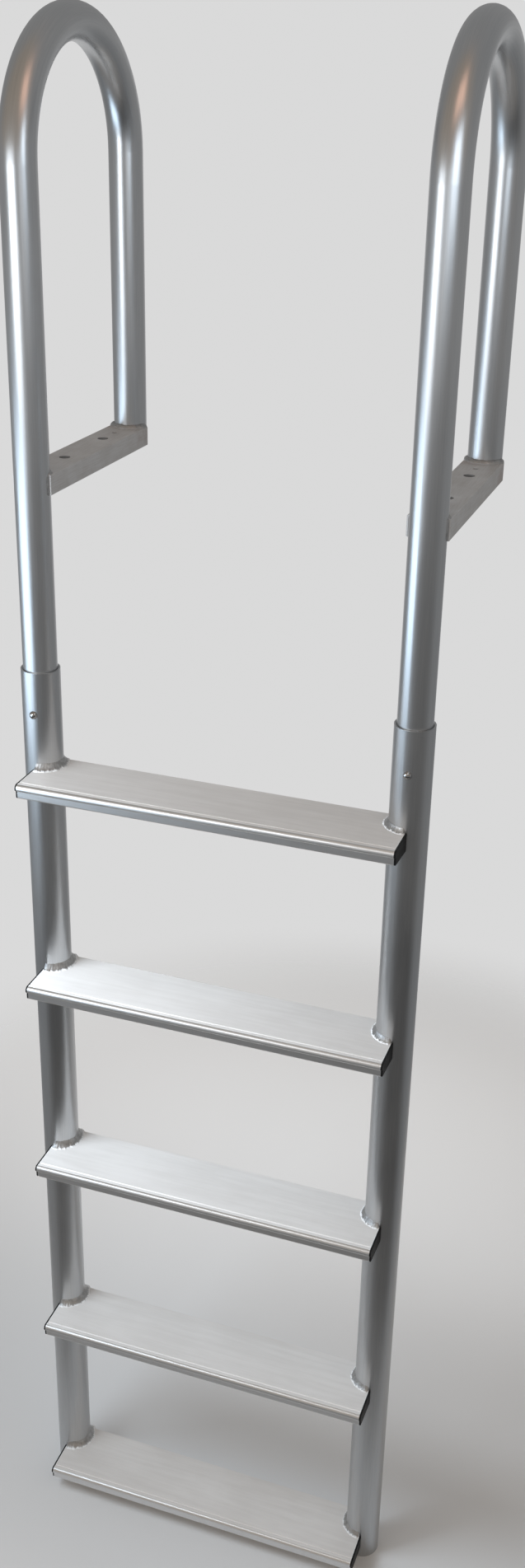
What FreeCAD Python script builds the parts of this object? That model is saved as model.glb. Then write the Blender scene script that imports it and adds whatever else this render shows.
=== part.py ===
"""Dock ladder: five coped treads on two lower rails, with plug-in handrail hoops.

The origin is on the underside of the left mounting bracket, midway between its two bolts.
+X runs from the left rail to the right one, +Y away from the climber, over the dock, and +Z up.
"""

import FreeCAD, Part
import math
import os
import re
import Sketcher

DIMENSIONS = [
    ("rail_spacing", 495.0, "between the centre lines of the two rails"),
    ("rail_od", 50.8, "outside diameter of a lower rail"),
    ("rail_wall", 3.0, "wall of a lower rail"),
    ("socket_clearance", 0.175, "radial gap round a handrail leg in its socket"),
    ("handrail_wall", 2.4, "wall of a handrail tube"),
    ("hoop_depth", 295.0, "between the centre lines of a hoop's two legs"),
    ("hoop_rise", 375.0, "from the bracket's underside to where the bend starts"),
    ("socket_drop", 226.0, "from the bracket's underside down to the socket rim"),
    ("plug_depth", 130.0, "length of handrail leg inside the socket"),
    ("rim_chamfer", 0.8, "lead-in at the socket rim"),
    ("first_tread_drop", 360.0, "from the bracket's underside down to the top tread"),
    ("tread_pitch", 304.8, "from one tread to the next"),
    ("tread_count", 5, "number of treads"),
    ("foot_length", 45.0, "rail below the top of the lowest tread"),
    ("bracket_width", 50.8, "width of the bracket tube"),
    ("bracket_height", 25.4, "height of the bracket tube"),
    ("bracket_wall", 3.2, "wall of the bracket tube"),
    ("bracket_corner", 1.5, "outer corner radius of the bracket tube"),
    ("bolt_spacing", 114.3, "between a bracket's two bolt holes"),
    ("bolt_hole", 14.0, "diameter of a bolt hole"),
    ("pilot_hole", 7.0, "diameter of the small screw hole"),
    ("pilot_offset", 94.5, "from the bracket's middle to the screw hole"),
    ("tread_reach", 78.0, "from the rail's centre line to the front of the nose"),
    ("tread_back", 21.0, "from the rail's centre line to the tread's rear edge"),
    ("tread_overhang", 2.0, "tread beyond the rail's centre line"),
    ("tread_wall", 2.6, "wall of the tread extrusion"),
    ("tread_web", 2.0, "web between the two chambers of a tread"),
    ("web_setback", 2.0, "from the rail's front to the web"),
    ("tread_corner", 1.0, "outer corner radius at the rear of a tread"),
    ("nose_height", 20.0, "height of the tread at the front"),
    ("back_height", 28.0, "height of the tread at the rear"),
    ("nose_radius", 6.0, "upper radius of the bullnose"),
    ("roll_height", 9.5, "height of the bullnose above its undercut"),
    ("roll_radius", 3.0, "lower radius of the bullnose"),
    ("nose_undercut", 3.2, "how far the lower face stands behind the bullnose"),
    ("lip_radius", 2.0, "radius at the foot of the lower face"),
    ("groove_setback", 10.0, "from the front of the nose to the groove's middle"),
    ("groove_width", 2.4, "width of the groove in the top"),
    ("groove_depth", 1.0, "depth of the groove in the top"),
    ("cap_flange", 2.5, "thickness of an end cap's flange"),
    ("cap_bevel", 0.6, "bevel round an end cap's outer rim"),
    ("cap_plug", 12.0, "length of an end cap's plug"),
    ("cap_plug_wall", 2.0, "wall of an end cap's plug"),
    ("cap_fit", 0.15, "gap round an end cap's plug"),
    ("cap_rail_gap", 0.4, "gap between an end cap and the rail"),
    ("button_drop", 57.0, "from the socket rim down to the snap button"),
    ("button_diameter", 11.0, "diameter of the snap button"),
    ("button_clearance", 0.05, "radial gap round the snap button in its holes"),
    ("button_proud", 4.5, "height of the button's dome outside the rail"),
    ("shoulder_diameter", 15.6, "diameter of the button's inner shoulder"),
    ("shoulder_height", 2.0, "thickness of the button's inner shoulder"),
]

DERIVED = [
    ("rail_radius", "rail_od / 2"),
    ("handrail_od", "rail_od - 2 * rail_wall - 2 * socket_clearance"),
    ("leg_radius", "handrail_od / 2"),
    ("leg_bore", "leg_radius - handrail_wall"),
    ("hoop_radius", "hoop_depth / 2"),
    ("rail_foot", "first_tread_drop + (tread_count - 1) * tread_pitch + foot_length"),
    ("tread_length", "rail_spacing + 2 * tread_overhang"),
    ("lower_face", "tread_reach - nose_undercut"),
    ("under_slope", "(back_height - nose_height) / (lower_face + tread_back)"),
    ("chamber_front", "lower_face - tread_wall"),
    ("web_front", "rail_radius + web_setback + tread_web"),
    ("web_rear", "rail_radius + web_setback"),
    ("chamber_back", "tread_back - tread_wall"),
    ("cap_back", "rail_radius + cap_rail_gap"),
    ("button_hole", "button_diameter + 2 * button_clearance"),
    ("button_level", "socket_drop + button_drop"),
    ("shoulder_seat", "sqrt(leg_bore ^ 2 - (shoulder_diameter / 2) ^ 2) - button_clearance"),
    ("dome_radius", "((button_diameter / 2) ^ 2 + button_proud ^ 2) / (2 * button_proud)"),
]

NAMES = [entry[0] for entry in DIMENSIONS + DERIVED]
SMALL = 1e-4
X_WAY = FreeCAD.Vector(1, 0, 0)
Y_WAY = FreeCAD.Vector(0, 1, 0)
Z_WAY = FreeCAD.Vector(0, 0, 1)

doc = FreeCAD.newDocument("DockLadder")


def make_sheet():
    """Write the driving dimensions, then those worked out from them, and name each cell."""
    sheet = doc.addObject("Spreadsheet::Sheet", "dims")
    for row, (name, value, meaning) in enumerate(DIMENSIONS, 1):
        sheet.set("A%d" % row, name)
        sheet.set("B%d" % row, str(value))
        sheet.set("C%d" % row, meaning)
        sheet.setAlias("B%d" % row, name)
    for row, (name, formula) in enumerate(DERIVED, len(DIMENSIONS) + 1):
        sheet.set("A%d" % row, name)
        sheet.set("B%d" % row, "=" + formula)
        sheet.setAlias("B%d" % row, name)
    doc.recompute()
    return sheet


dims = make_sheet()


def cells(formula):
    """Point each dimension's name in a formula at its cell in the sheet."""
    return re.sub(r"\w+", lambda word: "dims." + word[0] if word[0] in NAMES else word[0], formula)


def value_of(formula):
    """Work a formula out, in millimetres where it is a length."""
    return float(dims.evalExpression(cells(formula)))


def bind(thing, target, formula):
    """Tie one size or place of an object to the sheet."""
    thing.setExpression(target, cells(formula))


def place(thing, x, y, z):
    """Put an object at formulas in the ladder's frame."""
    bind(thing, "Placement.Base.x", x)
    bind(thing, "Placement.Base.y", y)
    bind(thing, "Placement.Base.z", z)


def new_body(label):
    """Start a sub-part under its own label."""
    body = doc.addObject("PartDesign::Body", label)
    body.Label = label
    return body


def new_sketch(body, name, plane, offset="0"):
    """Start a sketch on one of the body's own planes, moved along that plane's normal."""
    sketch = body.newObject("Sketcher::SketchObject", name)
    support = [part for part in body.Origin.OriginFeatures if part.Role == plane][0]
    sketch.AttachmentSupport = [(support, "")]
    sketch.MapMode = "FlatFace"
    bind(sketch, "AttachmentOffset.Base.z", offset)
    return sketch


def measure(sketch, kind, where, value, formula):
    """Add one driving measure to a sketch and tie it to the sheet."""
    index = sketch.addConstraint(Sketcher.Constraint(kind, *where, value))
    bind(sketch, "Constraints[%d]" % index, formula)


def pin(sketch, geometry, corner, x, y):
    """Hold one point of a sketch at formulas from the sketch's origin."""
    for kind, formula in (("DistanceX", x), ("DistanceY", y)):
        distance = value_of(formula)
        if distance < 0:
            measure(sketch, kind, (geometry, corner, -1, 1), -distance, "0 - (%s)" % formula)
        else:
            measure(sketch, kind, (-1, 1, geometry, corner), distance, formula)


def add_circle(sketch, x, y, diameter):
    """Draw a circle by the formulas of its centre and diameter."""
    centre = FreeCAD.Vector(value_of(x), value_of(y), 0)
    circle = sketch.addGeometry(Part.Circle(centre, Z_WAY, value_of(diameter) / 2), False)
    pin(sketch, circle, 3, x, y)
    measure(sketch, "Diameter", (circle,), value_of(diameter), diameter)


def add_outline(sketch, corners):
    """Draw a closed outline of straight sides through corners given as pairs of formulas."""
    points = [FreeCAD.Vector(value_of(x), value_of(y), 0) for x, y in corners]
    sides = []
    for start, end in zip(points, points[1:] + points[:1]):
        sides.append(sketch.addGeometry(Part.LineSegment(start, end), False))
    for side, after in zip(sides, sides[1:] + sides[:1]):
        sketch.addConstraint(Sketcher.Constraint("Coincident", side, 2, after, 1))
    for side, (x, y) in zip(sides, corners):
        pin(sketch, side, 1, x, y)


def add_rectangle(sketch, left, right, low, high):
    """Draw a rectangle between formulas."""
    add_outline(sketch, [(left, low), (right, low), (right, high), (left, high)])


def pad(body, sketch, name, length, symmetric=False, reverse=False):
    """Raise a sketch by a formula's length."""
    feature = body.newObject("PartDesign::Pad", name)
    feature.Profile = sketch
    feature.SideType = "Symmetric" if symmetric else "One side"
    feature.Reversed = reverse
    bind(feature, "Length", length)
    doc.recompute()


def pocket(body, sketch, name, length=None, reverse=False):
    """Cut a sketch right through both ways, or one way by a formula's length."""
    before = body.Shape.Volume
    feature = body.newObject("PartDesign::Pocket", name)
    feature.Profile = sketch
    feature.Reversed = reverse
    if length is None:
        feature.SideType = "Symmetric"
        feature.Type = "ThroughAll"
    else:
        bind(feature, "Length", length)
    doc.recompute()
    if not body.Shape.Volume < before - SMALL:
        raise RuntimeError("%s in %s cuts nothing" % (name, body.Label))


def revolve(body, sketch, name, axis, angle, reverse=False):
    """Turn a sketch about one of its own axes."""
    feature = body.newObject("PartDesign::Revolution", name)
    feature.Profile = sketch
    feature.ReferenceAxis = (sketch, [axis])
    feature.Angle = angle
    feature.Reversed = reverse
    doc.recompute()


def ease(body, kind, name, wanted, size, formula):
    """Round or chamfer, by a formula's size, the edges of a body that a test picks."""
    base = body.Tip
    picked = ["Edge%d" % number for number, edge in enumerate(base.Shape.Edges, 1) if wanted(edge)]
    if not picked:
        raise RuntimeError("%s in %s finds no edge" % (name, body.Label))
    feature = body.newObject("PartDesign::" + kind, name)
    feature.Base = (base, picked)
    bind(feature, size, formula)
    doc.recompute()


def straight_along(way, *formulas):
    """Make a test for straight edges along a way that pass through one of some places."""

    def wanted(edge):
        if not isinstance(edge.Curve, Part.Line):
            return False
        if abs(abs(edge.Curve.Direction.dot(way)) - 1) > SMALL:
            return False
        middle = edge.CenterOfMass
        if way == X_WAY:
            found = (middle.y, middle.z)
        else:
            found = (middle.x, middle.z)
        return any(
            abs(found[0] - value_of(first)) < SMALL and abs(found[1] - value_of(second)) < SMALL
            for first, second in formulas
        )

    return wanted


def rim_at(level, radius):
    """Make a test for the level circular edge of a radius at a height."""

    def wanted(edge):
        if not isinstance(edge.Curve, Part.Circle):
            return False
        right_size = abs(edge.Curve.Radius - value_of(radius)) < SMALL
        return right_size and abs(edge.Curve.Center.z - value_of(level)) < SMALL

    return wanted


def drill_button_hole(body, y):
    """Drill the snap button's hole through the front wall of an upright tube at a depth."""
    sketch = new_sketch(body, body.Label + "_hole_sketch", "XZ_Plane", "0 - (%s)" % y)
    add_circle(sketch, "0", "0 - button_level", "button_hole")
    pocket(body, sketch, body.Label + "_hole", "rail_od", reverse=True)
    middle = FreeCAD.Vector(0, value_of(y), -value_of("button_level"))
    reach = Y_WAY * (value_of("rail_radius") - value_of("rail_wall") / 2)
    inner = Y_WAY * (value_of("leg_radius") - value_of("handrail_wall") / 2)
    for wall in (reach, inner):
        if body.Shape.isInside(middle - wall, SMALL, True):
            raise RuntimeError("The button's hole in %s is not in front" % body.Label)


def make_lower_rail(label, x):
    """Make a lower rail: a tube open at the foot, with its socket and button hole at the top."""
    body = new_body(label)
    section = new_sketch(body, label + "_section", "XY_Plane", "0 - rail_foot")
    add_circle(section, "0", "0", "rail_od")
    add_circle(section, "0", "0", "rail_od - 2 * rail_wall")
    pad(body, section, label + "_tube", "rail_foot - socket_drop")
    drill_button_hole(body, "0")
    rim = rim_at("0 - socket_drop", "rail_radius - rail_wall")
    ease(body, "Chamfer", label + "_rim", rim, "Size", "rim_chamfer")
    place(body, x, "0 - hoop_radius", "0")
    return body


def add_tube_section(sketch, y):
    """Draw the handrail tube's section with its centre at a depth."""
    add_circle(sketch, "0", y, "handrail_od")
    add_circle(sketch, "0", y, "2 * leg_bore")


def make_handrail(label, x):
    """Make a handrail: the plug-in front leg, the half-circle bend and the rear leg."""
    body = new_body(label)
    front = new_sketch(body, label + "_front_section", "XY_Plane", "0 - socket_drop - plug_depth")
    add_tube_section(front, "0 - hoop_radius")
    pad(body, front, label + "_front_leg", "socket_drop + plug_depth + hoop_rise")
    rear = new_sketch(body, label + "_rear_section", "XY_Plane")
    add_tube_section(rear, "hoop_radius")
    bend = new_sketch(body, label + "_bend_section", "XY_Plane", "hoop_rise")
    add_tube_section(bend, "0 - hoop_radius")
    revolve(body, bend, label + "_bend", "H_Axis", 180, reverse=True)
    pad(body, rear, label + "_rear_leg", "hoop_rise")
    drill_button_hole(body, "0 - hoop_radius")
    place(body, x, "0", "0")
    return body


def make_mount_bracket(label, x):
    """Make a bracket: rectangular tube coped onto both legs, with bolt holes through it."""
    body = new_body(label)
    half = "bracket_width / 2"
    section = new_sketch(body, label + "_section", "XZ_Plane")
    add_rectangle(section, "0 - " + half, half, "0", "bracket_height")
    add_rectangle(
        section,
        "0 - %s + bracket_wall" % half,
        half + " - bracket_wall",
        "bracket_wall",
        "bracket_height - bracket_wall",
    )
    pad(body, section, label + "_tube", "hoop_depth", symmetric=True)
    corners = [(side + half, level) for side in ("0 - ", "") for level in ("0", "bracket_height")]
    ease(body, "Fillet", label + "_corners", straight_along(Y_WAY, *corners), "Radius", "bracket_corner")
    cope = new_sketch(body, label + "_cope_sketch", "XY_Plane")
    add_circle(cope, "0", "0 - hoop_radius", "handrail_od")
    add_circle(cope, "0", "hoop_radius", "handrail_od")
    pocket(body, cope, label + "_cope")
    holes = new_sketch(body, label + "_holes_sketch", "XY_Plane")
    add_circle(holes, "0", "0 - bolt_spacing / 2", "bolt_hole")
    add_circle(holes, "0", "bolt_spacing / 2", "bolt_hole")
    add_circle(holes, "0", "pilot_offset", "pilot_hole")
    pocket(body, holes, label + "_holes")
    place(body, x, "0", "0")
    return body


def underside(y):
    """Give the formula of the tread's sloping underside at a depth."""
    return "0 - nose_height - under_slope * (lower_face + (%s))" % y


def nose_corners():
    """Give the corners of the tread's front from the top of the nose to its foot."""
    return [
        ("0 - tread_reach", "0"),
        ("0 - tread_reach", "0 - roll_height"),
        ("0 - lower_face", "0 - roll_height"),
        ("0 - lower_face", "0 - nose_height"),
    ]


def groove_corners():
    """Give the corners of the groove in the top, from the rear to the front."""
    middle = "0 - tread_reach + groove_setback"
    return [
        (middle + " + groove_width / 2", "0"),
        (middle, "0 - groove_depth"),
        (middle + " - groove_width / 2", "0"),
    ]


def chamber_corners(front, rear, gap="0"):
    """Give the corners of a chamber between two depths, drawn in by a gap all round."""
    near = "%s + %s" % (front, gap)
    far = "%s - %s" % (rear, gap)
    top = "0 - tread_wall - " + gap
    rise = " + tread_wall + " + gap
    return [(near, top), (far, top), (far, underside(far) + rise), (near, underside(near) + rise)]


def round_nose(body):
    """Round the long edges of the nose of a tread or an end cap."""
    upper, lower, foot = (nose_corners()[number] for number in (0, 1, 3))
    ease(body, "Fillet", body.Label + "_nose", straight_along(X_WAY, upper), "Radius", "nose_radius")
    ease(body, "Fillet", body.Label + "_roll", straight_along(X_WAY, lower), "Radius", "roll_radius")
    ease(body, "Fillet", body.Label + "_lip", straight_along(X_WAY, foot), "Radius", "lip_radius")


def make_tread(label, drop):
    """Make a tread: a two-chamber extrusion, coped at its rear corners round both rails."""
    body = new_body(label)
    section = new_sketch(body, label + "_section", "YZ_Plane")
    back = ("tread_back", "0 - back_height")
    top_back = ("tread_back", "0")
    add_outline(section, [top_back] + groove_corners() + nose_corners() + [back])
    add_outline(section, chamber_corners("0 - chamber_front", "0 - web_front"))
    add_outline(section, chamber_corners("0 - web_rear", "chamber_back"))
    pad(body, section, label + "_extrusion", "tread_length", symmetric=True)
    round_nose(body)
    rear_edges = straight_along(X_WAY, back, top_back)
    ease(body, "Fillet", label + "_back", rear_edges, "Radius", "tread_corner")
    cope = new_sketch(body, label + "_cope_sketch", "XY_Plane")
    add_circle(cope, "0 - rail_spacing / 2", "0", "rail_od")
    add_circle(cope, "rail_spacing / 2", "0", "rail_od")
    pocket(body, cope, label + "_cope")
    place(body, "rail_spacing / 2", "0 - hoop_radius", "0 - (%s)" % drop)
    return body


def make_end_cap(label, drop, side):
    """Make an end cap: a flange over the tread's end in front of the rail, with a hollow plug."""
    body = new_body(label)
    end = side + "tread_length / 2"
    on_left = side != ""
    flange = new_sketch(body, label + "_flange_sketch", "YZ_Plane", end)
    rear = "0 - cap_back"
    add_outline(flange, [(rear, "0")] + nose_corners() + [(rear, underside(rear))])
    pad(body, flange, label + "_flange", "cap_flange", reverse=on_left)
    round_nose(body)
    outer = value_of(side + "(tread_length / 2 + cap_flange)")
    ease(
        body,
        "Chamfer",
        label + "_rim",
        lambda edge: abs(edge.BoundBox.XMin - outer) < SMALL and abs(edge.BoundBox.XMax - outer) < SMALL,
        "Size",
        "cap_bevel",
    )
    plug = new_sketch(body, label + "_plug_sketch", "YZ_Plane", end)
    add_outline(plug, chamber_corners("0 - chamber_front", "0 - web_front", "cap_fit"))
    inset = "(cap_fit + cap_plug_wall)"
    add_outline(plug, chamber_corners("0 - chamber_front", "0 - web_front", inset))
    pad(body, plug, label + "_plug", "cap_plug", reverse=not on_left)
    place(body, "rail_spacing / 2", "0 - hoop_radius", "0 - (%s)" % drop)
    return body


def make_snap_button(label, x):
    """Make a snap button: dome, shank through both tubes and a shoulder inside the inner one."""
    body = new_body(label)
    profile = new_sketch(body, label + "_profile", "XY_Plane")
    corners = [
        ("0", "0 - rail_radius - button_proud"),
        ("button_diameter / 2", "0 - rail_radius"),
        ("button_diameter / 2", "0 - shoulder_seat"),
        ("shoulder_diameter / 2", "0 - shoulder_seat"),
        ("shoulder_diameter / 2", "0 - shoulder_seat + shoulder_height"),
        ("0", "0 - shoulder_seat + shoulder_height"),
    ]
    points = [FreeCAD.Vector(value_of(x_way), value_of(y_way), 0) for x_way, y_way in corners]
    radius = value_of("dome_radius")
    centre = points[0] + Y_WAY * radius
    reach = points[1] - centre
    dome = Part.ArcOfCircle(
        Part.Circle(centre, Z_WAY, radius), -math.pi / 2, math.atan2(reach.y, reach.x)
    )
    sides = [profile.addGeometry(dome, False)]
    for start, end in zip(points[1:], points[2:] + points[:1]):
        sides.append(profile.addGeometry(Part.LineSegment(start, end), False))
    for side, after in zip(sides, sides[1:] + sides[:1]):
        profile.addConstraint(Sketcher.Constraint("Coincident", side, 2, after, 1))
    for side, (x_way, y_way) in list(zip(sides, corners))[1:]:
        pin(profile, side, 1, x_way, y_way)
    pin(profile, sides[0], 1, *corners[0])
    profile.addConstraint(Sketcher.Constraint("PointOnObject", sides[0], 3, -2))
    revolve(body, profile, label + "_turned", "V_Axis", 360)
    place(body, x, "0 - hoop_radius", "0 - button_level")
    return body


def make_ladder():
    """Make every sub-part in its place."""
    parts = []
    for side, x in (("left", "0"), ("right", "rail_spacing")):
        parts.append(make_lower_rail(side + "_lower_rail", x))
        parts.append(make_handrail(side + "_handrail", x))
        parts.append(make_mount_bracket(side + "_mount_bracket", x))
        parts.append(make_snap_button(side + "_snap_button", x))
    for number in range(int(value_of("tread_count"))):
        drop = "first_tread_drop + %d * tread_pitch" % number
        label = "tread_%d" % (number + 1)
        parts.append(make_tread(label, drop))
        parts.append(make_end_cap(label + "_left_cap", drop, "0 - "))
        parts.append(make_end_cap(label + "_right_cap", drop, ""))
    doc.recompute()
    return parts


def check(parts):
    """Stop if an object failed or a sub-part has no sound solid of its own."""
    for thing in doc.Objects:
        if "Invalid" in thing.State or "Error" in thing.State:
            raise RuntimeError("%s did not recompute: %s" % (thing.Label, thing.State))
    for part in parts:
        shape = part.Shape
        if shape.isNull() or not shape.isValid() or len(shape.Solids) != 1:
            raise RuntimeError("%s is not one sound solid" % part.Label)


def write(parts):
    """Write one file for each sub-part."""
    os.makedirs("parts", exist_ok=True)
    for part in parts:
        part.Shape.exportStep("parts/%s.step" % part.Label)


ladder = make_ladder()
check(ladder)
write(ladder)
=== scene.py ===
"""Dock ladder: the finishes of its solids, and the weld beads that join them.

Lengths are in metres, in the ladder's own frame: the origin is on the underside of the left
mounting bracket, +X runs from the left rail to the right one, +Y over the dock and +Z up.
"""

import logging
import math
from dataclasses import dataclass
from enum import Enum

import bmesh
import bpy
from mathutils import Matrix, Vector, noise


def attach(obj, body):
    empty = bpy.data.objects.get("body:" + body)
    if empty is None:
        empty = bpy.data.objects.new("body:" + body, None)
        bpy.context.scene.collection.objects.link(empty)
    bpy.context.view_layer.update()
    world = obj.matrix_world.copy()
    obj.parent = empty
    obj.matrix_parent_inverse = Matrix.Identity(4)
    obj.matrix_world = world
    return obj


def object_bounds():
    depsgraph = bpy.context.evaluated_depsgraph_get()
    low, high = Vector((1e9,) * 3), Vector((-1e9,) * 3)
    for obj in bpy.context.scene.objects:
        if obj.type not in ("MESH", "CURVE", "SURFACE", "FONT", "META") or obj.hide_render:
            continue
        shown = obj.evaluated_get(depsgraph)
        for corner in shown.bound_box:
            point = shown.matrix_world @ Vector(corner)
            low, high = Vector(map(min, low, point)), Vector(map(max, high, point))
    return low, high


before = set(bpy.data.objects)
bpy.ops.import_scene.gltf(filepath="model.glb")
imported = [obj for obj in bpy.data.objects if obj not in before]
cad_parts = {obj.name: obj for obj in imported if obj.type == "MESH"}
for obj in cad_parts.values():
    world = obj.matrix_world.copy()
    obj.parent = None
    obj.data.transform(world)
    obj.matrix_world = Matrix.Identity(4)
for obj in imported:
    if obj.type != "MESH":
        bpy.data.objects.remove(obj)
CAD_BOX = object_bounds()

Colour = tuple[float, float, float, float]
Socket = bpy.types.NodeSocket

UPWARD = Vector((0.0, 0.0, 1.0))
QUARTER_TURN = math.pi / 2
RAIL_SPACING = 0.495  # between the rails' centre lines, and so between the hoops
LEG_REACH = 0.1475  # from a hoop's middle to a leg's centre line
report = logging.getLogger("dock_ladder")


class Side(Enum):
    """The two rails of the ladder."""

    LEFT = "left"
    RIGHT = "right"

    @property
    def inward(self) -> int:
        """Give the sign of +X on the way from this rail to the treads.

        Returns:
            1 for the left rail and -1 for the right one.
        """
        return 1 if self is Side.LEFT else -1


class Leg(Enum):
    """The two legs of a hoop, by the way from the leg to its bracket along Y."""

    FRONT = 1
    REAR = -1


class Face(Enum):
    """The upper and lower face of a tread, by the way that they look along Z."""

    TOP = 1
    UNDERSIDE = -1


def grey(level: float, warmth: float = 0.0) -> Colour:
    """Give a grey in linear light.

    Args:
        level: brightness from 0 to 1.
        warmth: how far it leans to red, or to blue where it is negative.

    Returns:
        The colour with full opacity.
    """
    return (level * (1 + warmth), level, level * (1 - warmth), 1.0)


class Recipe:
    """The node tree of a material or a world, built one node at a time."""

    def __init__(self, owner: bpy.types.Material | bpy.types.World) -> None:
        """Empty the owner's node tree.

        Args:
            owner: the material or world.
        """
        owner.use_nodes = True
        self.owner = owner
        self.tree = owner.node_tree
        self.tree.nodes.clear()

    def put(self, node: bpy.types.Node, name: str | int, value: Socket | float | tuple) -> None:
        """Link a socket to an input, or set a plain value on it.

        Args:
            node: the node that takes it.
            name: the input's name or number.
            value: a socket, a number or a tuple.
        """
        if isinstance(value, Socket):
            self.tree.links.new(value, node.inputs[name])
        else:
            node.inputs[name].default_value = value

    def add(self, kind: str, **inputs: Socket | float | tuple) -> bpy.types.Node:
        """Add a node and fill its inputs.

        Args:
            kind: the node's type.
            **inputs: values by input name, with underscores for spaces.

        Returns:
            The new node.
        """
        node = self.tree.nodes.new(kind)
        for name, value in inputs.items():
            self.put(node, name.replace("_", " "), value)
        return node

    def sum(self, operation: str, first: Socket | float, second: Socket | float = 0.0) -> Socket:
        """Join two numbers by one sum.

        Args:
            operation: the Math node's operation.
            first: the first number.
            second: the second number.

        Returns:
            The result.
        """
        node = self.tree.nodes.new("ShaderNodeMath")
        node.operation = operation
        self.put(node, 0, first)
        self.put(node, 1, second)
        return node.outputs[0]

    def vector(
        self, operation: str, first: Socket | tuple, second: Socket | tuple = (0, 0, 0)
    ) -> Socket:
        """Join two vectors.

        Args:
            operation: the Vector Math node's operation.
            first: the first vector.
            second: the second vector.

        Returns:
            The result, a number for LENGTH and DOT_PRODUCT.
        """
        node = self.tree.nodes.new("ShaderNodeVectorMath")
        node.operation = operation
        self.put(node, 0, first)
        self.put(node, 1, second)
        return node.outputs["Value" if operation in ("LENGTH", "DOT_PRODUCT") else "Vector"]

    def place(self) -> Socket:
        """Give the point's place in the ladder's frame.

        Returns:
            The place.
        """
        return self.add("ShaderNodeTexCoord").outputs["Object"]

    def attribute(self, name: str) -> Socket:
        """Read a number that the mesh carries at each vertex.

        Args:
            name: the number's name.

        Returns:
            The number.
        """
        node = self.tree.nodes.new("ShaderNodeAttribute")
        node.attribute_name = name
        return node.outputs["Fac"]

    def split(self, vector: Socket) -> list[Socket]:
        """Split a vector into its three numbers.

        Args:
            vector: the vector.

        Returns:
            Its X, Y and Z.
        """
        return list(self.add("ShaderNodeSeparateXYZ", Vector=vector).outputs)

    def join(self, x: Socket | float, y: Socket | float, z: Socket | float) -> Socket:
        """Join three numbers into a vector.

        Args:
            x: its X.
            y: its Y.
            z: its Z.

        Returns:
            The vector.
        """
        return self.add("ShaderNodeCombineXYZ", X=x, Y=y, Z=z).outputs[0]

    def stretch(self, vector: Socket, x: float, y: float, z: float) -> Socket:
        """Scale a vector by a number for each way.

        Args:
            vector: the vector.
            x: scale along X.
            y: scale along Y.
            z: scale along Z.

        Returns:
            The scaled vector.
        """
        return self.vector("MULTIPLY", vector, (x, y, z))

    def noise(
        self, vector: Socket, scale: float, detail: float = 3.0, rough: float = 0.55
    ) -> Socket:
        """Add a noise texture.

        Args:
            vector: where it is read.
            scale: its scale.
            detail: its octaves.
            rough: how strong the finer octaves are.

        Returns:
            The noise from 0 to 1.
        """
        node = self.add("ShaderNodeTexNoise", Vector=vector, Scale=scale)
        self.put(node, "Detail", detail)
        self.put(node, "Roughness", rough)
        return node.outputs["Fac"]

    def average(self, first: Socket, second: Socket, share: float = 0.5) -> Socket:
        """Average two numbers.

        Args:
            first: the first number.
            second: the second number.
            share: how much the second counts, from 0 to 1.

        Returns:
            The weighted average.
        """
        first_part = self.sum("MULTIPLY", first, 1 - share)
        return self.sum("ADD", first_part, self.sum("MULTIPLY", second, share))

    def mix(self, factor: Socket, first: Socket, second: Socket) -> Socket:
        """Mix two numbers.

        Args:
            factor: 0 gives the first, 1 the second.
            first: the first number.
            second: the second number.

        Returns:
            The mixed number.
        """
        gap = self.sum("SUBTRACT", second, first)
        return self.sum("ADD", first, self.sum("MULTIPLY", factor, gap))

    def span(
        self, value: Socket, low: float, high: float, start: float = 0.0, end: float = 1.0
    ) -> Socket:
        """Map a number from one range to another, smoothly and clamped.

        Args:
            value: the number.
            low: where the result is start.
            high: where the result is end.
            start: the result at low.
            end: the result at high.

        Returns:
            The mapped number.
        """
        node = self.tree.nodes.new("ShaderNodeMapRange")
        node.interpolation_type = "SMOOTHSTEP"
        names = ("Value", "From Min", "From Max", "To Min", "To Max")
        for name, number in zip(names, (value, low, high, start, end)):
            self.put(node, name, number)
        return node.outputs[0]

    def blend(self, factor: Socket, first: Socket | Colour, second: Socket | Colour) -> Socket:
        """Mix two colours.

        Args:
            factor: 0 gives the first, 1 the second.
            first: the first colour.
            second: the second colour.

        Returns:
            The mixed colour.
        """
        node = self.tree.nodes.new("ShaderNodeMix")
        node.data_type = "RGBA"
        for number, value in zip((0, 6, 7), (factor, first, second)):
            self.put(node, number, value)
        return node.outputs[2]

    def bump(self, height: Socket, distance: float, strength: float = 1.0) -> Socket:
        """Turn a height into a normal.

        Args:
            height: the height from 0 to 1.
            distance: what a height of 1 measures.
            strength: how much of it shows.

        Returns:
            The normal.
        """
        node = self.add("ShaderNodeBump", Height=height, Distance=distance, Strength=strength)
        return node.outputs[0]

    def close(self, shader: str, output: str, **inputs: Socket | float | tuple) -> None:
        """Close the tree with one shader.

        Args:
            shader: the shader node's type.
            output: the output node's type.
            **inputs: the shader's inputs by name, with underscores for spaces.
        """
        result = self.add(shader, **inputs).outputs[0]
        self.put(self.tree.nodes.new(output), "Surface", result)

    def surface(self, **inputs: Socket | float | tuple) -> bpy.types.Material:
        """Close a material's tree with its surface.

        Args:
            **inputs: the surface's inputs by name, with underscores for spaces.

        Returns:
            The finished material.
        """
        self.close("ShaderNodeBsdfPrincipled", "ShaderNodeOutputMaterial", **inputs)
        return self.owner


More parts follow.
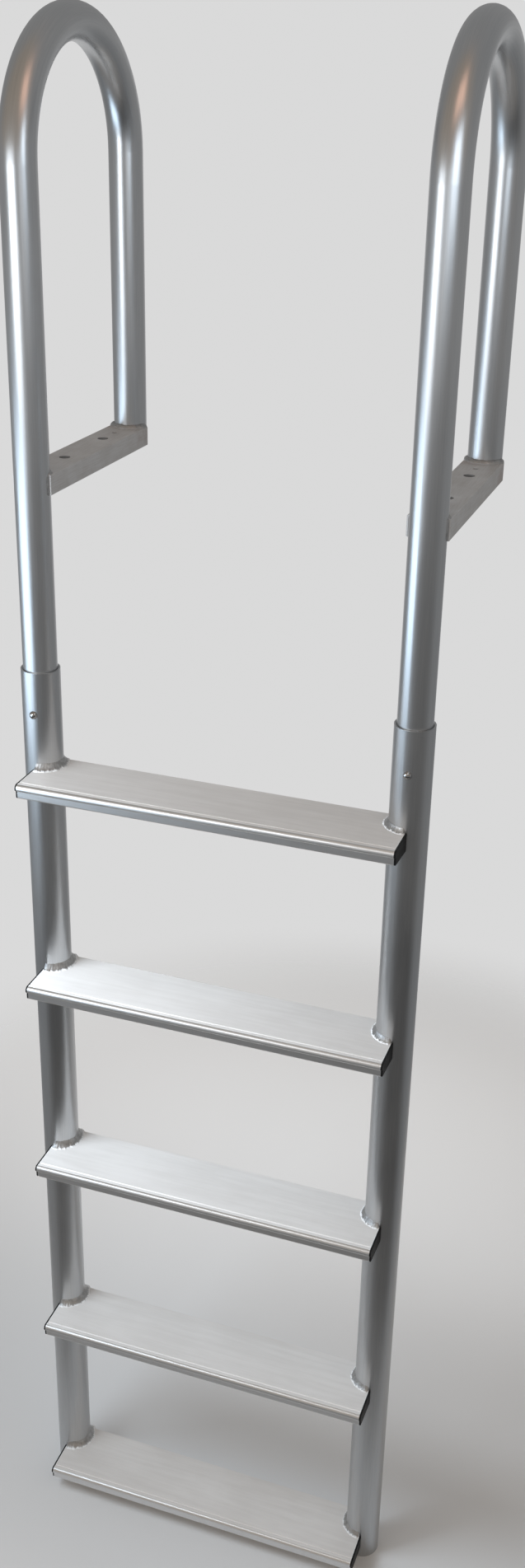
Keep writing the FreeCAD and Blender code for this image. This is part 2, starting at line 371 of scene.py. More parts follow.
@dataclass(frozen=True)
class DrawnTube:
    """Satin drawn aluminium tube with a faint grain along its length.

    Args:
        name: the material's name.
        level: the metal's brightness.
        rough: its roughness.
        bend_height: height at which the tube starts to bend over, or None for a straight tube.
        bend_radius: radius of the bend's centre line.
    """

    name: str
    level: float
    rough: float
    bend_height: float | None = None
    bend_radius: float = LEG_REACH

    def along(self, recipe: Recipe) -> Socket:
        """Give coordinates that follow the tube.

        Args:
            recipe: the tree that takes the nodes.

        Returns:
            Two coordinates across the tube, and the way along it last.
        """
        x, y, z = recipe.split(recipe.place())
        if self.bend_height is None:
            return recipe.join(x, y, z)
        above = recipe.sum("MAXIMUM", recipe.sum("SUBTRACT", z, self.bend_height), 0.0)
        below = recipe.sum("MINIMUM", recipe.sum("SUBTRACT", z, self.bend_height), 0.0)
        ahead = recipe.sum("MULTIPLY", y, -1.0)
        reach = recipe.vector("LENGTH", recipe.join(0.0, y, above))
        across = recipe.sum("SUBTRACT", reach, self.bend_radius)
        turned = recipe.sum("MULTIPLY", recipe.sum("ARCTAN2", above, ahead), self.bend_radius)
        run = recipe.sum("ADD", turned, recipe.sum("MULTIPLY", below, recipe.sum("SIGN", ahead)))
        return recipe.join(x, across, run)

    def make(self) -> bpy.types.Material:
        """Build the material.

        Returns:
            The finished material.
        """
        recipe = Recipe(bpy.data.materials.new(self.name))
        way = self.along(recipe)
        grain = recipe.noise(recipe.stretch(way, 1.0, 1.0, 0.02), 900.0, 2.0)
        cloud = recipe.noise(recipe.stretch(way, 1.0, 1.0, 0.25), 14.0, 4.0)
        speckle = recipe.noise(way, 420.0, 2.0)
        tone = recipe.average(grain, cloud)
        dark, pale = grey(self.level * 0.93, -0.025), grey(self.level * 1.05, -0.01)
        colour = recipe.blend(recipe.span(tone, 0.3, 0.7), dark, pale)
        roughness = recipe.span(cloud, 0.25, 0.75, self.rough - 0.035, self.rough + 0.045)
        normal = recipe.bump(recipe.average(grain, speckle, 0.4), 0.00006, 0.35)
        return recipe.surface(Base_Color=colour, Metallic=1.0, Roughness=roughness, Normal=normal)


@dataclass(frozen=True)
class BrushedTread:
    """Aluminium extrusion: brushed along X on top, shiny on its nose, with a painted highlight at
    its sawn ends.

    Args:
        name: the material's name.
        level: brightness of the brushed top.
        metal: how metallic the brushed top is.
        rough: its roughness.
        nose_line: where the shiny nose starts along Y, on the rounding in front of the groove.
        nose_level: the nose's brightness.
        nose_rough: its roughness.
        middle: the tread's middle along X.
        half_length: half of its length.
        sawn_highlight_level: brightness of the painted highlight at the sawn ends.
        sawn_highlight_depth: how far that painted highlight reaches along the tread.
        edge: half of the width over which one look turns into another.
    """

    name: str = "brushed_tread"
    level: float = 0.8
    metal: float = 0.25
    rough: float = 0.5
    nose_line: float = -0.221
    nose_level: float = 0.78
    nose_rough: float = 0.38
    middle: float = RAIL_SPACING / 2
    half_length: float = 0.2495
    sawn_highlight_level: float = 0.9
    sawn_highlight_depth: float = 0.0012
    edge: float = 0.0002

    def make(self) -> bpy.types.Material:
        """Build the material.

        Returns:
            The finished material.
        """
        recipe = Recipe(bpy.data.materials.new(self.name))
        place = recipe.place()
        brush = recipe.noise(recipe.stretch(place, 0.015, 1.0, 1.0), 1500.0, 3.0, 0.7)
        streak = recipe.noise(recipe.stretch(place, 0.08, 1.0, 1.0), 140.0, 3.0)
        cloud = recipe.noise(place, 9.0, 4.0)
        tone = recipe.average(streak, cloud)
        dark, pale = grey(self.level * 0.94, 0.035), grey(self.level * 1.05, 0.028)
        colour = recipe.blend(recipe.span(tone, 0.3, 0.7), dark, pale)
        x, y, _ = recipe.split(place)
        nose = recipe.span(y, self.nose_line - self.edge, self.nose_line + self.edge, 1.0, 0.0)
        colour = recipe.blend(nose, colour, grey(self.nose_level))
        off_middle = recipe.sum("ABSOLUTE", recipe.sum("SUBTRACT", x, self.middle))
        # Painted highlight: each sawn end is made paler over its last stretch, in place of the
        # glint along its edges.
        sawn_highlight_start = self.half_length - self.sawn_highlight_depth
        sawn_highlight = recipe.span(off_middle, sawn_highlight_start, self.half_length - self.edge)
        colour = recipe.blend(sawn_highlight, colour, grey(self.sawn_highlight_level))
        brushed = recipe.span(brush, 0.3, 0.7, self.rough - 0.05, self.rough + 0.06)
        smooth = recipe.span(brush, 0.3, 0.7, self.nose_rough - 0.03, self.nose_rough + 0.03)
        roughness = recipe.mix(nose, brushed, smooth)
        metallic = recipe.span(nose, 0.0, 1.0, self.metal, 1.0)
        normal = recipe.bump(brush, 0.00008, 0.5)
        return recipe.surface(
            Base_Color=colour, Metallic=metallic, Roughness=roughness, Normal=normal
        )


@dataclass(frozen=True)
class MillBar:
    """Dull mill-finished bar of the brackets, with painted shade in its drilled holes and smoke
    beside the rear welds.

    Args:
        name: the material's name.
        level: the bar's brightness.
        rough: its roughness.
        hole_middle: from the bracket's middle to the middle of a bolt hole.
        hole_radius: radius of a bolt hole.
        hole_rim: width over which the bar turns into the hole's wall.
        hole_shade_level: brightness of the painted shade on the holes' walls.
        weld_reach: from the bracket's middle to the rear weld.
        smoke_length: how far the smoke reaches from the weld.
        smoke_colour: colour of the smoke.
        smoke_share: how much of the bar it covers at its thickest.
    """

    name: str = "mill_bar"
    level: float = 0.62
    rough: float = 0.6
    hole_middle: float = 0.05715
    hole_radius: float = 0.007
    hole_rim: float = 0.0004
    hole_shade_level: float = 0.34
    weld_reach: float = 0.122
    smoke_length: float = 0.02
    smoke_colour: Colour = (0.3, 0.2, 0.16, 1.0)
    smoke_share: float = 0.35

    def make(self) -> bpy.types.Material:
        """Build the material.

        Returns:
            The finished material.
        """
        recipe = Recipe(bpy.data.materials.new(self.name))
        place = recipe.place()
        grain = recipe.noise(recipe.stretch(place, 1.0, 0.04, 1.0), 700.0, 3.0)
        cloud = recipe.noise(place, 30.0, 5.0, 0.6)
        tone = recipe.average(grain, cloud, 0.6)
        dark, pale = grey(self.level * 0.86, 0.03), grey(self.level * 1.1, 0.0)
        colour = recipe.blend(recipe.span(tone, 0.3, 0.7), dark, pale)
        x, y, _ = recipe.split(place)
        half = RAIL_SPACING / 2
        off_middle = recipe.sum("ABSOLUTE", recipe.sum("SUBTRACT", x, half))
        sideways = recipe.sum("SUBTRACT", off_middle, half)
        lengthways = recipe.sum("SUBTRACT", recipe.sum("ABSOLUTE", y), self.hole_middle)
        from_hole = recipe.vector("LENGTH", recipe.join(sideways, lengthways, 0.0))
        rim = self.hole_radius + self.hole_rim
        shaded_hole_wall = recipe.span(from_hole, self.hole_radius, rim, 1.0, 0.0)
        near_weld = recipe.span(y, self.weld_reach - self.smoke_length, self.weld_reach)
        smoke = recipe.sum("MULTIPLY", near_weld, recipe.span(cloud, 0.4, 0.65))
        smoked = recipe.sum("MULTIPLY", smoke, self.smoke_share)
        colour = recipe.blend(smoked, colour, self.smoke_colour)
        # Painted shade: the walls of the bolt holes are darkened, as shade falls inside them.
        colour = recipe.blend(shaded_hole_wall, colour, grey(self.hole_shade_level))
        roughness = recipe.span(cloud, 0.3, 0.7, self.rough - 0.06, self.rough + 0.08)
        normal = recipe.bump(tone, 0.0001, 0.4)
        metallic = recipe.span(shaded_hole_wall, 0.0, 1.0, 0.7, 0.5)
        return recipe.surface(
            Base_Color=colour, Metallic=metallic, Roughness=roughness, Normal=normal
        )


@dataclass(frozen=True)
class WeldMetal:
    """Metal of a weld bead: smooth and grey on its face, frosty and bright along its first toe.

    Args:
        name: the material's name.
        level: brightness of the face.
        toe_level: brightness of the toe.
        rough: roughness of the face.
    """

    name: str = "weld_metal"
    level: float = 0.47
    toe_level: float = 0.9
    rough: float = 0.4

    def make(self) -> bpy.types.Material:
        """Build the material.

        Returns:
            The finished material.
        """
        recipe = Recipe(bpy.data.materials.new(self.name))
        place = recipe.place()
        frost = recipe.noise(place, 1300.0, 4.0, 0.65)
        patch = recipe.noise(place, 160.0, 4.0)
        across, along = recipe.attribute("across"), recipe.attribute("along")
        flattened = recipe.join(along, recipe.sum("MULTIPLY", across, 0.001), 0.0)
        teeth = recipe.noise(flattened, 620.0, 2.0)
        reach = recipe.sum("ADD", across, recipe.average(teeth, patch, 0.35))
        toe = recipe.span(reach, 0.62, 0.84, 1.0, 0.0)
        dark, pale = grey(self.level * 0.85), grey(self.level * 1.1)
        face = recipe.blend(recipe.span(patch, 0.36, 0.62), dark, pale)
        colour = recipe.blend(toe, face, grey(self.toe_level))
        roughness = recipe.span(patch, 0.3, 0.7, self.rough + 0.1, self.rough)
        metallic = recipe.span(toe, 0.0, 1.0, 1.0, 0.15)
        toothed = recipe.sum("MULTIPLY", teeth, toe)
        normal = recipe.bump(recipe.average(frost, toothed, 0.7), 0.0006, 0.8)
        return recipe.surface(
            Base_Color=colour, Metallic=metallic, Roughness=roughness, Normal=normal
        )


@dataclass(frozen=True)
class MouldedPlastic:
    """Black moulded plastic with a fine grain.

    Args:
        name: the material's name.
        level: the plastic's brightness.
        rough: its roughness.
        gloss: how much it reflects.
    """

    name: str = "moulded_plastic"
    level: float = 0.006
    rough: float = 0.5
    gloss: float = 0.25

    def make(self) -> bpy.types.Material:
        """Build the material.

        Returns:
            The finished material.
        """
        recipe = Recipe(bpy.data.materials.new(self.name))
        place = recipe.place()
        grain = recipe.noise(place, 1800.0, 2.0)
        wear = recipe.noise(place, 90.0, 4.0)
        fresh, worn = grey(self.level, -0.06), grey(self.level * 2.4, 0.02)
        colour = recipe.blend(recipe.span(wear, 0.45, 0.8), fresh, worn)
        roughness = recipe.span(wear, 0.3, 0.7, self.rough - 0.06, self.rough + 0.08)
        normal = recipe.bump(grain, 0.00008, 0.5)
        return recipe.surface(
            Base_Color=colour, Roughness=roughness, Specular_IOR_Level=self.gloss, Normal=normal
        )


@dataclass(frozen=True)
class PolishedButton:
    """Polished steel of the snap buttons, with light turning marks.

    Args:
        name: the material's name.
        level: the steel's brightness.
        rough: its roughness.
    """

    name: str = "polished_button"
    level: float = 0.42
    rough: float = 0.08

    def make(self) -> bpy.types.Material:
        """Build the material.

        Returns:
            The finished material.
        """
        recipe = Recipe(bpy.data.materials.new(self.name))
        marks = recipe.noise(recipe.place(), 700.0, 3.0)
        colour = recipe.blend(marks, grey(self.level * 0.94, 0.01), grey(self.level))
        roughness = recipe.span(marks, 0.35, 0.7, self.rough, self.rough + 0.08)
        return recipe.surface(Base_Color=colour, Metallic=1.0, Roughness=roughness)


@dataclass(frozen=True)
class StudioFloor:
    """Pale matt floor that fades out towards its rim.

    Args:
        name: the material's name.
        level: the floor's brightness.
        rough: its roughness.
        solid_radius: how far from its middle it is solid.
        faded_radius: radius of its rim, where nothing of it is left.
    """

    name: str = "studio_floor"
    level: float = 0.8
    rough: float = 0.9
    solid_radius: float = 0.7
    faded_radius: float = 1.25

    def make(self) -> bpy.types.Material:
        """Build the material.

        Returns:
            The finished material.
        """
        recipe = Recipe(bpy.data.materials.new(self.name))
        place = recipe.place()
        x, y, _ = recipe.split(place)
        distance = recipe.vector("LENGTH", recipe.join(x, y, 0.0))
        fade = recipe.span(distance, self.solid_radius, self.faded_radius, 1.0, 0.0)
        mottle = recipe.noise(place, 3.0, 3.0)
        colour = recipe.blend(mottle, grey(self.level * 0.99), grey(self.level))
        return recipe.surface(Base_Color=colour, Roughness=self.rough, Alpha=fade)


@dataclass(frozen=True)
class WeldBead:
    """A rippled fillet of weld metal in the corner between two faces.

    Args:
        leg: how far the bead reaches along the first face.
        rise: how far it climbs the second face.
        crown: how far its face bulges, or hollows where it is negative.
        pitch: distance between two ripples.
        ripple: depth of the ripples, as a share of the bead's thickness.
        wander: how far its thickness wanders, as a share.
        fray: how far its toe on the first face runs in and out, as a share.
        sunk: how deep its toes and root lie in the metal.
        nose: length over which each end rounds off.
        crescent: how far a ripple's ends lag behind its middle, in pitches.
        jitter: how far the ripples run early or late, in pitches.
        trough: how deep the scallops lie between two ripples, as a share of their height.
        blunt: how thick the bead still is at its very ends, as a share squared.
        jitter_scale: scale of the noise that shifts the ripples.
        wander_scale: scale of the noise that the thickness wanders by.
        fray_scale: scale of the noise that frays the toe.
        facets: steps across its face.
        steps: steps along each ripple.
    """

    leg: float
    rise: float
    crown: float = 0.0
    pitch: float = 0.0034
    ripple: float = 0.05
    wander: float = 0.12
    fray: float = 0.0
    sunk: float = 0.0005
    nose: float = 0.004
    crescent: float = 0.55
    jitter: float = 0.35
    trough: float = 0.6
    blunt: float = 0.06
    jitter_scale: float = 90.0
    wander_scale: float = 170.0
    fray_scale: float = 460.0
    facets: int = 9
    steps: int = 7

    def section(
        self, shape: bmesh.types.BMesh, corner: Vector, first: Vector, second: Vector
    ) -> list[bmesh.types.BMVert | bmesh.types.BMEdge]:
        """Draw the bead's closed section.

        Args:
            shape: the mesh that takes it.
            corner: where the two faces meet.
            first: from the corner to the toe on the first face.
            second: from the corner to the toe on the second face.

        Returns:
            The section's vertices and edges.
        """
        shape.verts.layers.float.new("along")
        across = shape.verts.layers.float.new("across")
        middle = (first + second).normalized()
        ring = [shape.verts.new(corner - middle * self.sunk)]
        for step in range(self.facets + 1):
            share = step / self.facets
            swell = 4 * share * (1 - share)
            raised = (self.crown + self.sunk) * swell - self.sunk
            toe = shape.verts.new(corner + first * (1 - share) + second * share + middle * raised)
            toe[across] = share
            ring.append(toe)
        edges = [shape.edges.new(pair) for pair in zip(ring, ring[1:] + ring[:1])]
        return ring + edges

    def shape_up(
        self, shape: bmesh.types.BMesh, feet: list[tuple[Vector, float]], length: float
    ) -> None:
        """Close the swept bead's ends, round them off and work the ripples into it.

        Args:
            shape: the swept bead.
            feet: for each vertex, its place on the corner's line and its way along it.
            length: the bead's length.
        """
        along, across = shape.verts.layers.float["along"], shape.verts.layers.float["across"]
        for vert, (foot, way) in zip(shape.verts, feet):
            vert[along] = way
            bow = self.crescent * (2 * vert[across] - 1) ** 2
            shift = self.jitter * noise.noise(foot * self.jitter_scale)
            phase = (way / self.pitch - bow + shift) % 1.0
            scallop = 4 * phase * (1 - phase) - self.trough
            near_end = min(way, length - way, self.nose) / self.nose
            rounded = math.sqrt(max(1 - (1 - near_end) ** 2, self.blunt))
            frayed = self.fray * (1 - vert[across]) ** 3 * noise.noise(foot * self.fray_scale)
            wandered = self.wander * noise.noise(foot * self.wander_scale)
            thickness = 1 + self.ripple * scallop + wandered + frayed
            vert.co = foot + (vert.co - foot) * rounded * thickness
        bmesh.ops.holes_fill(shape, edges=shape.edges, sides=0)
        bmesh.ops.recalc_face_normals(shape, faces=shape.faces)
        for face in shape.faces:
            face.smooth = True

    def ring(
        self,
        axis: Vector,
        radius: float,
        toward: Vector,
        start: float,
        end: float,
        face: Face = Face.TOP,
    ) -> bmesh.types.BMesh:
        """Run a bead round an upright tube.

        Args:
            axis: where the tube's axis meets the face that the bead lies on.
            radius: the tube's radius.
            toward: way from the axis in which the angle is 0.
            start: angle of the bead's start, anticlockwise from above.
            end: angle of its end.
            face: whether the bead lies on top of the face or under it.

        Returns:
            The bead.
        """
        outward = Matrix.Rotation(start, 3, "Z") @ toward
        length = abs(end - start) * radius
        count = round(length / self.pitch * self.steps)
        shape = bmesh.new()
        corner = axis + outward * radius
        section = self.section(shape, corner, outward * self.leg, UPWARD * face.value * self.rise)
        bmesh.ops.spin(shape, geom=section, cent=axis, axis=UPWARD, angle=end - start, steps=count)
        feet = []
        for vert in shape.verts:
            flat = vert.co - axis
            flat.z = 0.0
            turned = math.atan2(toward.cross(flat).z, toward.dot(flat))
            feet.append((axis + flat.normalized() * radius, abs(turned - start) * radius))
        self.shape_up(shape, feet, length)
        return shape

    def upright(
        self, corner: Vector, first: Vector, second: Vector, height: float
    ) -> bmesh.types.BMesh:
        """Run a bead straight up from a corner.

        Args:
            corner: where the two faces meet, at the bead's lower end.
            first: from the corner to the toe on the first face.
            second: from the corner to the toe on the second face.
            height: the bead's length.

        Returns:
            The bead.
        """
        count = round(height / self.pitch * self.steps)
        shape = bmesh.new()
        section = self.section(shape, corner, first, second)
        rise = UPWARD * height / count
        bmesh.ops.spin(shape, geom=section, axis=UPWARD, dvec=rise, angle=0.0, steps=count)
        feet = []
        for vert in shape.verts:
            way = vert.co.z - corner.z
            feet.append((corner + UPWARD * way, way))
        self.shape_up(shape, feet, height)
        return shape


def put_in_order(shape: bmesh.types.BMesh) -> None:
    """Sort vertices and faces by place, because a sweep leaves them in another order each run.

    Args:
        shape: the mesh.
    """
    verts = sorted(shape.verts, key=lambda vert: tuple(vert.co))
    faces = sorted(shape.faces, key=lambda face: [tuple(vert.co) for vert in face.verts])
    for sequence, ordered in ((shape.verts, verts), (shape.faces, faces)):
        ranks = {item: rank for rank, item in enumerate(ordered)}
        sequence.sort(key=ranks.get)


def add_piece(
    name: str, beads: list[bmesh.types.BMesh], material: bpy.types.Material
) -> None:
    """Join beads into one piece that rides on the ladder's frame.

    Args:
        name: the piece's name.
        beads: its beads.
        material: its finish.
    """
    mesh = bpy.data.meshes.new(name)
    whole = bmesh.new()
    for bead in beads:
        bead.to_mesh(mesh)
        whole.from_mesh(mesh)
        bead.free()
    put_in_order(whole)
    whole.to_mesh(mesh)
    whole.free()
    mesh.materials.append(material)
    piece = bpy.data.objects.new(name, mesh)
    bpy.context.scene.collection.objects.link(piece)
    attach(piece, "frame")
    report.info("%s: %d beads, %d faces", name, len(beads), len(mesh.polygons))


def dress_node(name: str, material: bpy.types.Material) -> None:
    """Give a solid of the ladder its material.

    Args:
        name: the solid's name.
        material: its finish.
    """
    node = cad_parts[name]
    node.data.materials.clear()
    node.data.materials.append(material)
    report.info("%s: %s", name, material.name)


@dataclass
class Tubes:
    """The handrails and the lower rails.

    Args:
        handrail: finish of the handrails.
        rail: finish of the lower rails.
    """

    handrail: DrawnTube = DrawnTube("handrail_tube", 0.55, 0.33, bend_height=0.375)
    rail: DrawnTube = DrawnTube("rail_tube", 0.54, 0.34)

    def dress(self) -> None:
        """Give the tubes their finish."""
        handrail, rail = self.handrail.make(), self.rail.make()
        for side in Side:
            dress_node(side.value + "_handrail", handrail)
            dress_node(side.value + "_lower_rail", rail)


@dataclass
class Treads:
    """The five treads, their end caps and the welds that hold them to the rails.

    Args:
        count: number of treads.
        top: height of the first tread's top.
        pitch: from one tread to the next.
        rail_front: the rails' centre line along Y.
        rail_radius: outer radius of a rail.
        lower_face: from the rail's centre line to the foot of the tread's nose.
        back: from the rail's centre line to the tread's rear edge.
        overhang: tread beyond the rail's centre line.
        nose_height: height of the tread at its lower face.
        back_height: height of the tread at its rear edge.
        left_bead: bead round the left rail.
        right_bead: bead round the right rail.
        rear_bead: bead down the tread's rear edge.
        rear_turn: angle round the rail that the rear bead covers.
        rear_run: how far the rear bead runs past the tread at each end.
    """

    count: int = 5
    top: float = -0.36
    pitch: float = 0.3048
    rail_front: float = -LEG_REACH
    rail_radius: float = 0.0254
    lower_face: float = 0.0748
    back: float = 0.021
    overhang: float = 0.002
    nose_height: float = 0.02
    back_height: float = 0.028
    left_bead: WeldBead = WeldBead(leg=0.0092, rise=0.0105, crown=-0.0022, fray=0.18)
    right_bead: WeldBead = WeldBead(leg=0.0072, rise=0.0082, crown=-0.0014, fray=0.18)
    rear_bead: WeldBead = WeldBead(leg=0.0045, rise=0.0, crown=0.0008, nose=0.005)
    rear_turn: float = math.radians(12)
    rear_run: float = 0.002

    def dress(self) -> None:
        """Give the treads and caps their finish."""
        tread, cap = BrushedTread().make(), MouldedPlastic().make()
        for number in range(1, self.count + 1):
            dress_node(f"tread_{number}", tread)
            for side in Side:
                dress_node(f"tread_{number}_{side.value}_cap", cap)

    def under_bead(
        self, bead: WeldBead, axis: Vector, toward: Vector, start: float, end: float
    ) -> bmesh.types.BMesh:
        """Run a bead round the rail under the tread, tilted with its underside.

        Args:
            bead: the bead's sizes.
            axis: where the rail's axis meets the level of the tread's top.
            toward: way from the axis in which the angle is 0.
            start: angle of the bead's start.
            end: angle of its end.

        Returns:
            The bead.
        """
        slope = (self.back_height - self.nose_height) / (self.lower_face + self.back)
        shape = bead.ring(axis, self.rail_radius, toward, start, end, Face.UNDERSIDE)
        tilt = Matrix.Identity(4)
        tilt[2][1] = -slope
        tilt[2][3] = -self.nose_height - slope * (self.lower_face - axis.y)
        bmesh.ops.transform(shape, matrix=tilt, verts=shape.verts)
        return shape

    def weld(self) -> None:
        """Weld each tread to both rails: over it, down its rear edge and under it."""
        metal = WeldMetal().make()
        front = math.asin(-self.overhang / self.rail_radius) - QUARTER_TURN
        rear = math.asin(self.back / self.rail_radius)
        for number in range(1, self.count + 1):
            for side in Side:
                is_left = side is Side.LEFT
                rail_x, bead = (0.0, self.left_bead) if is_left else (RAIL_SPACING, self.right_bead)
                axis = Vector((rail_x, self.rail_front, self.top - self.pitch * (number - 1)))
                toward = Vector((side.inward, 0.0, 0.0))
                start, end = front * side.inward, rear * side.inward
                spoke = Matrix.Rotation(end, 3, "Z") @ toward * self.rail_radius
                tube_toe = Matrix.Rotation(self.rear_turn * side.inward, 3, "Z") @ spoke - spoke
                tread_toe = toward * self.rear_bead.leg
                foot = axis + spoke - UPWARD * (self.back_height + self.rear_run)
                height = self.back_height + 2 * self.rear_run
                beads = [
                    bead.ring(axis, self.rail_radius, toward, start, end),
                    self.under_bead(bead, axis, toward, start, end),
                    self.rear_bead.upright(foot, tread_toe, tube_toe, height),
                ]
                add_piece(f"tread_{number}_{side.value}_weld", beads, metal)


@dataclass
class Fittings:
    """The mounting brackets with their welds, and the snap buttons.

    Args:
        leg_radius: outer radius of a hoop's leg.
        half_width: half of the bracket's width.
        height: the bracket's height.
        front_bead: bead over the bracket at the front leg.
        rear_bead: bead over the bracket at the rear leg.
        end_bead: bead down each edge of the bracket's ends.
        end_turn: angle round the leg that an end bead covers.
    """

    leg_radius: float = 0.022225
    half_width: float = 0.0254
    height: float = 0.0254
    front_bead: WeldBead = WeldBead(leg=0.0036, rise=0.0036, nose=0.009)
    rear_bead: WeldBead = WeldBead(leg=0.0056, rise=0.0052, crown=0.0005, wander=0.2)
    end_bead: WeldBead = WeldBead(
        leg=0.0016, rise=0.0, crown=0.0001, sunk=0.0004, ripple=0.02, wander=0.05
    )
    end_turn: float = math.radians(14)

    def dress(self) -> None:
        """Give the brackets and buttons their finish."""
        bar, button = MillBar().make(), PolishedButton().make()
        for side in Side:
            dress_node(side.value + "_mount_bracket", bar)
            dress_node(side.value + "_snap_button", button)

    def weld_leg(self, middle: Vector, leg: Leg) -> list[bmesh.types.BMesh]:
        """Weld one end of a bracket to a leg: over it, and down both of its edges.

        Args:
            middle: the middle of the bracket's underside.
            leg: the leg.

        Returns:
            The beads.
        """
        toward = Vector((0.0, leg.value, 0.0))
        foot = middle - toward * LEG_REACH
        top = foot + UPWARD * self.height
        bead = self.front_bead if leg is Leg.FRONT else self.rear_bead
        beads = [bead.ring(top, self.leg_radius, toward, -QUARTER_TURN, QUARTER_TURN)]
        for sign in (-1, 1):
            spoke = Vector((sign * self.leg_radius, 0.0, 0.0))
            flange = Vector((sign * self.end_bead.leg, 0.0, 0.0))
            turn = Matrix.Rotation(-self.end_turn * sign * leg.value, 3, "Z")
            leg_toe = turn @ spoke - spoke
            beads.append(self.end_bead.upright(foot + spoke, flange, leg_toe, self.height))
        # No bead stands out past the bracket's sides.
        for bead in beads:
            for vert in bead.verts:
                off_middle = vert.co.x - middle.x
                kept = min(abs(off_middle), self.half_width)
                vert.co.x = middle.x + math.copysign(kept, off_middle)
        return beads

    def weld(self) -> None:
        """Weld both brackets to the legs of their hoops."""
        metal = WeldMetal("bracket_weld_metal", 0.42, 0.36, 0.4).make()
        for side in Side:
            rail_x = 0.0 if side is Side.LEFT else RAIL_SPACING
            for leg in Leg:
                name = f"{side.value}_bracket_{leg.name.lower()}_weld"
                beads = self.weld_leg(Vector((rail_x, 0.0, 0.0)), leg)
                add_piece(name, beads, metal)


@dataclass(frozen=True)
class Lamp:
    """Soft rectangular lamp that the camera doesn't see.

    Args:
        name: the lamp's name.
        place: its middle.
        size: its width and height.
        glow: brightness of its face.
        tint: colour of its light.
        spread: angle that its light opens to.
        mirrored: whether shiny surfaces mirror it.
    """

    name: str
    place: tuple[float, float, float]
    size: tuple[float, float]
    glow: float
    tint: Colour
    spread: float = math.pi
    mirrored: bool = True

    def hang(self, toward: Vector) -> None:
        """Hang the lamp in the scene.

        Args:
            toward: the way in which it shines.
        """
        data = bpy.data.lights.new(self.name, "AREA")
        data.shape = "RECTANGLE"
        data.size, data.size_y = self.size
        data.energy = self.glow * math.pi * self.size[0] * self.size[1]
        data.color = self.tint[:3]
        data.spread = self.spread
        lamp = bpy.data.objects.new(self.name, data)
        lamp.visible_camera = False
        lamp.visible_glossy = self.mirrored
        facing = toward.to_track_quat("-Z", "Y").to_matrix().to_4x4()
        lamp.matrix_world = Matrix.Translation(self.place) @ facing
        bpy.context.scene.collection.objects.link(lamp)


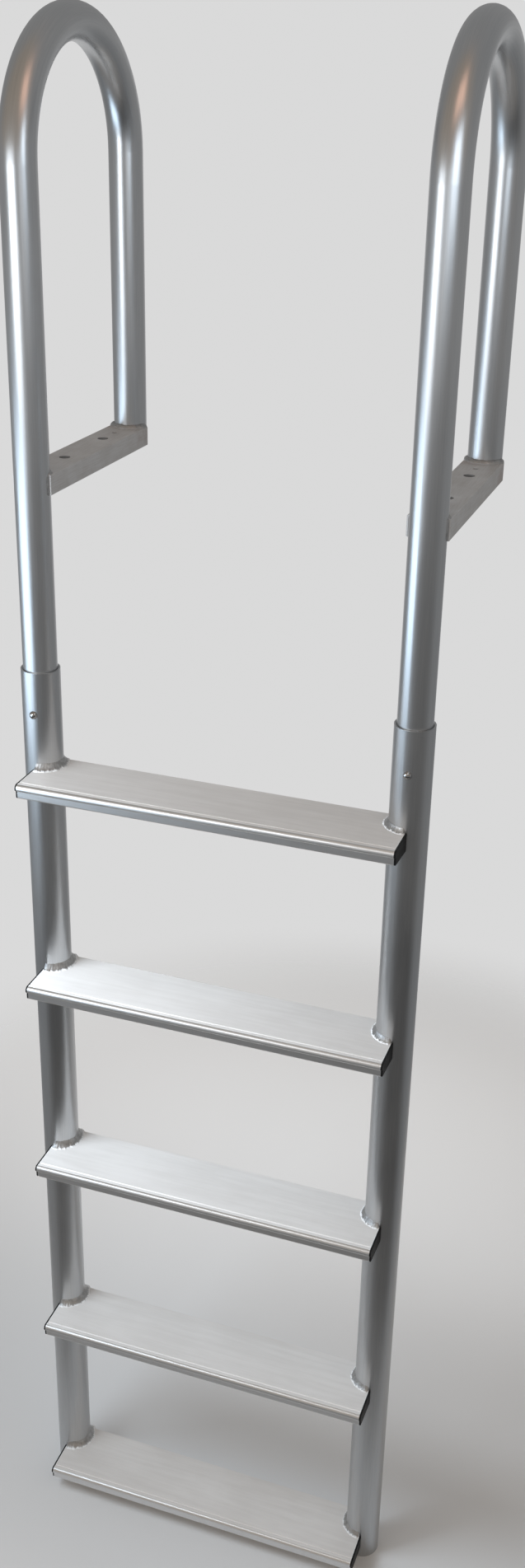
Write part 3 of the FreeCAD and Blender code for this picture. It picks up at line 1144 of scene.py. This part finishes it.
@dataclass(frozen=True)
class Studio:
    """Floor, soft lights, surroundings and the camera at the photograph's place.

    Args:
        middle: the ladder's middle, which the lamps face.
        floor_level: height of the floor.
        frame_size: the picture's width and height.
        focal_pixels: the camera's focal length, in pixels of that picture.
        camera_place: the camera's place.
        camera_turn: its turn to the left from +Y.
        camera_dip: its dip below level.
        camera_roll: its roll.
        pale_way: level direction in which the surroundings are palest.
        dim_way: level direction in which they are dimmest below the horizon.
        front_way: level direction in front of the ladder.
        floor_shift: from below the ladder's middle to the floor's middle, along Y.
        lamps: upright lamps round the ladder, fitted to what its tubes mirror in the photograph.
            The tread lamp lights the matt treads, and isn't mirrored in the tubes as a real one is.
        floor_lamp: lamp that hangs low over the floor behind the ladder.
    """

    middle: Vector
    floor_level: float
    frame_size: tuple[int, int] = (637, 1903)
    focal_pixels: float = 1885.4
    camera_place: tuple[float, float, float] = (0.8789, -1.8165, 0.4936)
    camera_turn: float = math.radians(18.995)
    camera_dip: float = math.radians(25.242)
    camera_roll: float = math.radians(-1.179)
    pale_way: tuple[float, float, float] = (-0.326, 0.945, 0.0)
    dim_way: tuple[float, float, float] = (0.5, -0.866, 0.0)
    front_way: tuple[float, float, float] = (0.0, -1.0, 0.0)
    floor_shift: float = 0.5
    lamps: tuple[Lamp, ...] = (
        Lamp("window_lamp", (-0.56, -0.71, -0.375), (0.9, 0.5), 2.6, grey(1.0, -0.2)),
        Lamp("upper_window_lamp", (-0.26, -1.12, 0.19), (0.76, 0.42), 4.0, grey(1.0, -0.05)),
        Lamp("dim_strip_lamp", (0.59, -0.86, 0.3), (0.4, 0.3), 0.8, grey(1.0, -0.05)),
        Lamp("strip_lamp", (0.79, -0.58, 0.5), (0.32, 0.4), 2.4, grey(1.0, -0.12)),
        Lamp("warm_lamp", (0.59, -0.57, 1.2), (0.5, 0.7), 0.75, (1.5, 0.86, 0.62, 1.0)),
        Lamp(
            "tread_lamp", (-0.3, -0.56, -0.35), (0.5, 0.45), 13.5, grey(1.0, -0.1), mirrored=False
        ),
    )
    floor_lamp: Lamp = Lamp(
        "floor_lamp", (0.0, 0.9, -1.1), (1.8, 1.1), 0.38, grey(1.0), spread=math.radians(125)
    )

    def make_camera(self) -> None:
        """Set up the camera."""
        data = bpy.data.cameras.new("photo_camera")
        data.lens = data.sensor_width * self.focal_pixels / max(self.frame_size)
        camera = bpy.data.objects.new("photo_camera", data)
        turned = Matrix.Rotation(self.camera_turn, 4, "Z")
        dipped = Matrix.Rotation(QUARTER_TURN - self.camera_dip, 4, "X")
        rolled = Matrix.Rotation(-self.camera_roll, 4, "Z")
        camera.matrix_world = Matrix.Translation(self.camera_place) @ turned @ dipped @ rolled
        bpy.context.scene.collection.objects.link(camera)
        bpy.context.scene.camera = camera

    def make_surroundings(self) -> None:
        """Light the room: pale behind, darkest low at the front right, and warm high in front."""
        nadir, low, darkest = grey(0.26, 0.06), grey(0.24, -0.02), grey(0.05, 0.02)
        horizon, palest = grey(0.36), grey(0.7)
        ceiling, warm_ceiling = grey(0.31), grey(0.32, 0.17)
        world = bpy.data.worlds.new("studio")
        bpy.context.scene.world = world
        recipe = Recipe(world)
        way = recipe.add("ShaderNodeTexCoord").outputs["Generated"]
        x, y, z = recipe.split(way)
        level_way = recipe.vector("NORMALIZE", recipe.join(x, y, 0.0))
        pale = recipe.span(recipe.vector("DOT_PRODUCT", level_way, self.pale_way), 0.8, 0.975)
        dim = recipe.span(recipe.vector("DOT_PRODUCT", level_way, self.dim_way), 0.2, 0.9)
        front = recipe.span(recipe.vector("DOT_PRODUCT", level_way, self.front_way), -0.3, 0.6)
        below = recipe.blend(dim, low, darkest)
        below = recipe.blend(recipe.span(z, -0.85, -0.66), nadir, below)
        around = recipe.blend(recipe.span(z, -0.62, 0.05), below, horizon)
        around = recipe.blend(pale, around, palest)
        above = recipe.blend(front, ceiling, warm_ceiling)
        colour = recipe.blend(recipe.span(z, 0.03, 0.16), around, above)
        recipe.close("ShaderNodeBackground", "ShaderNodeOutputWorld", Color=colour)

    def make_floor(self) -> None:
        """Lay the round floor under the ladder."""
        shape = bmesh.new()
        radius = StudioFloor.faded_radius
        bmesh.ops.create_circle(shape, cap_ends=True, segments=96, radius=radius)
        mesh = bpy.data.meshes.new("floor")
        shape.to_mesh(mesh)
        shape.free()
        floor = bpy.data.objects.new("floor", mesh)
        floor.location = (self.middle.x, self.middle.y + self.floor_shift, self.floor_level)
        mesh.materials.append(StudioFloor().make())
        bpy.context.scene.collection.objects.link(floor)

    def make(self) -> None:
        """Set up the whole studio."""
        bpy.context.scene.view_settings.view_transform = "Standard"
        self.make_camera()
        self.make_surroundings()
        self.make_floor()
        for lamp in self.lamps:
            toward = self.middle - Vector(lamp.place)
            toward.z = 0.0
            lamp.hang(toward)
        self.floor_lamp.hang(-UPWARD)
        report.info("studio: camera, floor and %d lamps", len(self.lamps) + 1)


def main() -> None:
    """Dress the ladder, weld it and set up the studio."""
    logging.basicConfig(level=logging.INFO, format="%(name)s %(message)s")
    low, high = CAD_BOX
    treads, fittings = Treads(), Fittings()
    Tubes().dress()
    treads.dress()
    treads.weld()
    fittings.dress()
    fittings.weld()
    Studio(middle=(low + high) / 2, floor_level=low.z).make()


if __name__ == "__main__":
    main()
